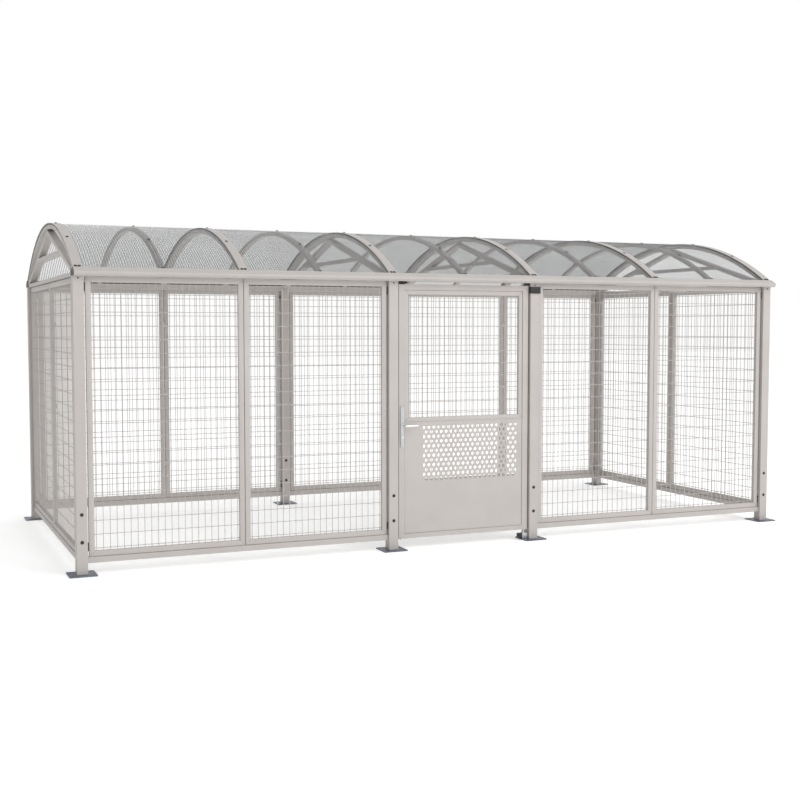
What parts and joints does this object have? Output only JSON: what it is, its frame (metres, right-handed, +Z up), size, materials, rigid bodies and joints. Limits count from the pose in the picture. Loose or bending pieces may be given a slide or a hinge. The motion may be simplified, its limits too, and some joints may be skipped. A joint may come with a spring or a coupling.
{
  "type": "kennel cage",
  "caption": "Free-standing outdoor kennel cage with welded-wire panels, a vaulted clear roof, a lockable pivot-hung door and bolt-down feet.",
  "frame": {"origin": "on the ground at the centre of the plan", "axes": "+X along the length, to the right seen from the door side; -Y towards the door side; +Z up"},
  "size_m": [6.327, 2.96, 2.616],
  "materials": {
    "paint": "satin warm light grey powder coat",
    "zinc": "dull dark blue-grey galvanised steel",
    "dark_bolts": "dull dark steel",
    "black_trim": "matt black",
    "clear_sheet": "smoky clear twin-wall plastic sheet",
    "lock_steel": "brushed",
    "chrome": "polished"
  },
  "bodies": {
    "frame": {"post_front_left": "paint", "post_door_latch": "paint", "post_door_hinge": "paint", "post_front_right": "paint", "post_back_left": "paint", "post_back_mid_left": "paint", "post_back_mid_right": "paint", "post_back_right": "paint", "foot_plates": "zinc", "post_bolts": "dark_bolts", "sill_rails": "paint", "panel_front_1": "paint", "panel_front_2": "paint", "panel_front_3": "paint", "panel_front_4": "paint", "panel_back_1": "paint", "panel_back_2": "paint", "panel_back_3": "paint", "panel_back_4": "paint", "panel_back_5": "paint", "panel_left_front": "paint", "panel_left_back": "paint", "panel_right_front": "paint", "panel_right_back": "paint", "panel_spacers": "dark_bolts", "panel_joiners": "paint", "eaves": "paint", "eave_end_caps": "black_trim", "main_ribs": "paint", "middle_ribs": "paint", "cover_strips": "paint", "roof_sheet_1": "clear_sheet", "roof_sheet_2": "clear_sheet", "roof_sheet_3": "clear_sheet", "roof_sheet_4": "clear_sheet", "roof_sheet_5": "clear_sheet", "truss_rafters": "paint", "truss_collars": "paint", "gable_ties": "paint", "roof_bolts": "dark_bolts", "strike_plate": "lock_steel", "top_pivot_arm": "dark_bolts", "top_pivot_cover": "black_trim", "bottom_pivot": "lock_steel", "bottom_pivot_cap": "black_trim", "door_stop": "black_trim"},
    "door": {"leaf_frame": "paint", "leaf_infill": "paint", "leaf_sheet": "paint", "lock_case": "lock_steel", "lock_plates": "lock_steel", "cylinder_body": "chrome", "drop_bolt_guides": "paint"},
    "lever": {"lever_outer": "chrome", "lever_inner": "chrome"},
    "key": {"key_plug": "chrome"},
    "latch": {"latch_bolt": "lock_steel"},
    "deadbolt": {"dead_bolt": "lock_steel"},
    "dropbolt": {"drop_bolt": "dark_bolts"}
  },
  "joints": [
    {"name": "door_swing", "type": "hinge", "parent": "frame", "child": "door", "pos_m": [0.5605, -1.375, 1], "axis": [0, 0, 1], "range_deg": [0, 95]},
    {"name": "lever_turn", "type": "hinge", "parent": "door", "child": "lever", "pos_m": [-0.5575, -1.375, 0.995], "axis": [0, 1, 0], "range_deg": [0, 40], "stiffness_Nm_per_rad": 0.9, "springref_deg": -17.19},
    {"name": "latch_slide", "type": "slide", "parent": "door", "child": "latch", "axis": [1, 0, 0], "range_m": [0, 0.009]},
    {"name": "key_turn", "type": "hinge", "parent": "door", "child": "key", "pos_m": [-0.5575, -1.375, 0.903], "axis": [0, 1, 0], "range_deg": [0, 90]},
    {"name": "deadbolt_slide", "type": "slide", "parent": "door", "child": "deadbolt", "axis": [-1, 0, 0], "range_m": [0, 0.018]},
    {"name": "dropbolt_slide", "type": "slide", "parent": "door", "child": "dropbolt", "axis": [0, 0, -1], "range_m": [0, 0.06]}
  ],
  "couplings": [
    {"joint": "latch_slide", "follows": "lever_turn", "m_per_rad": 0.01285},
    {"joint": "deadbolt_slide", "follows": "key_turn", "m_per_rad": 0.01145}
  ]
}
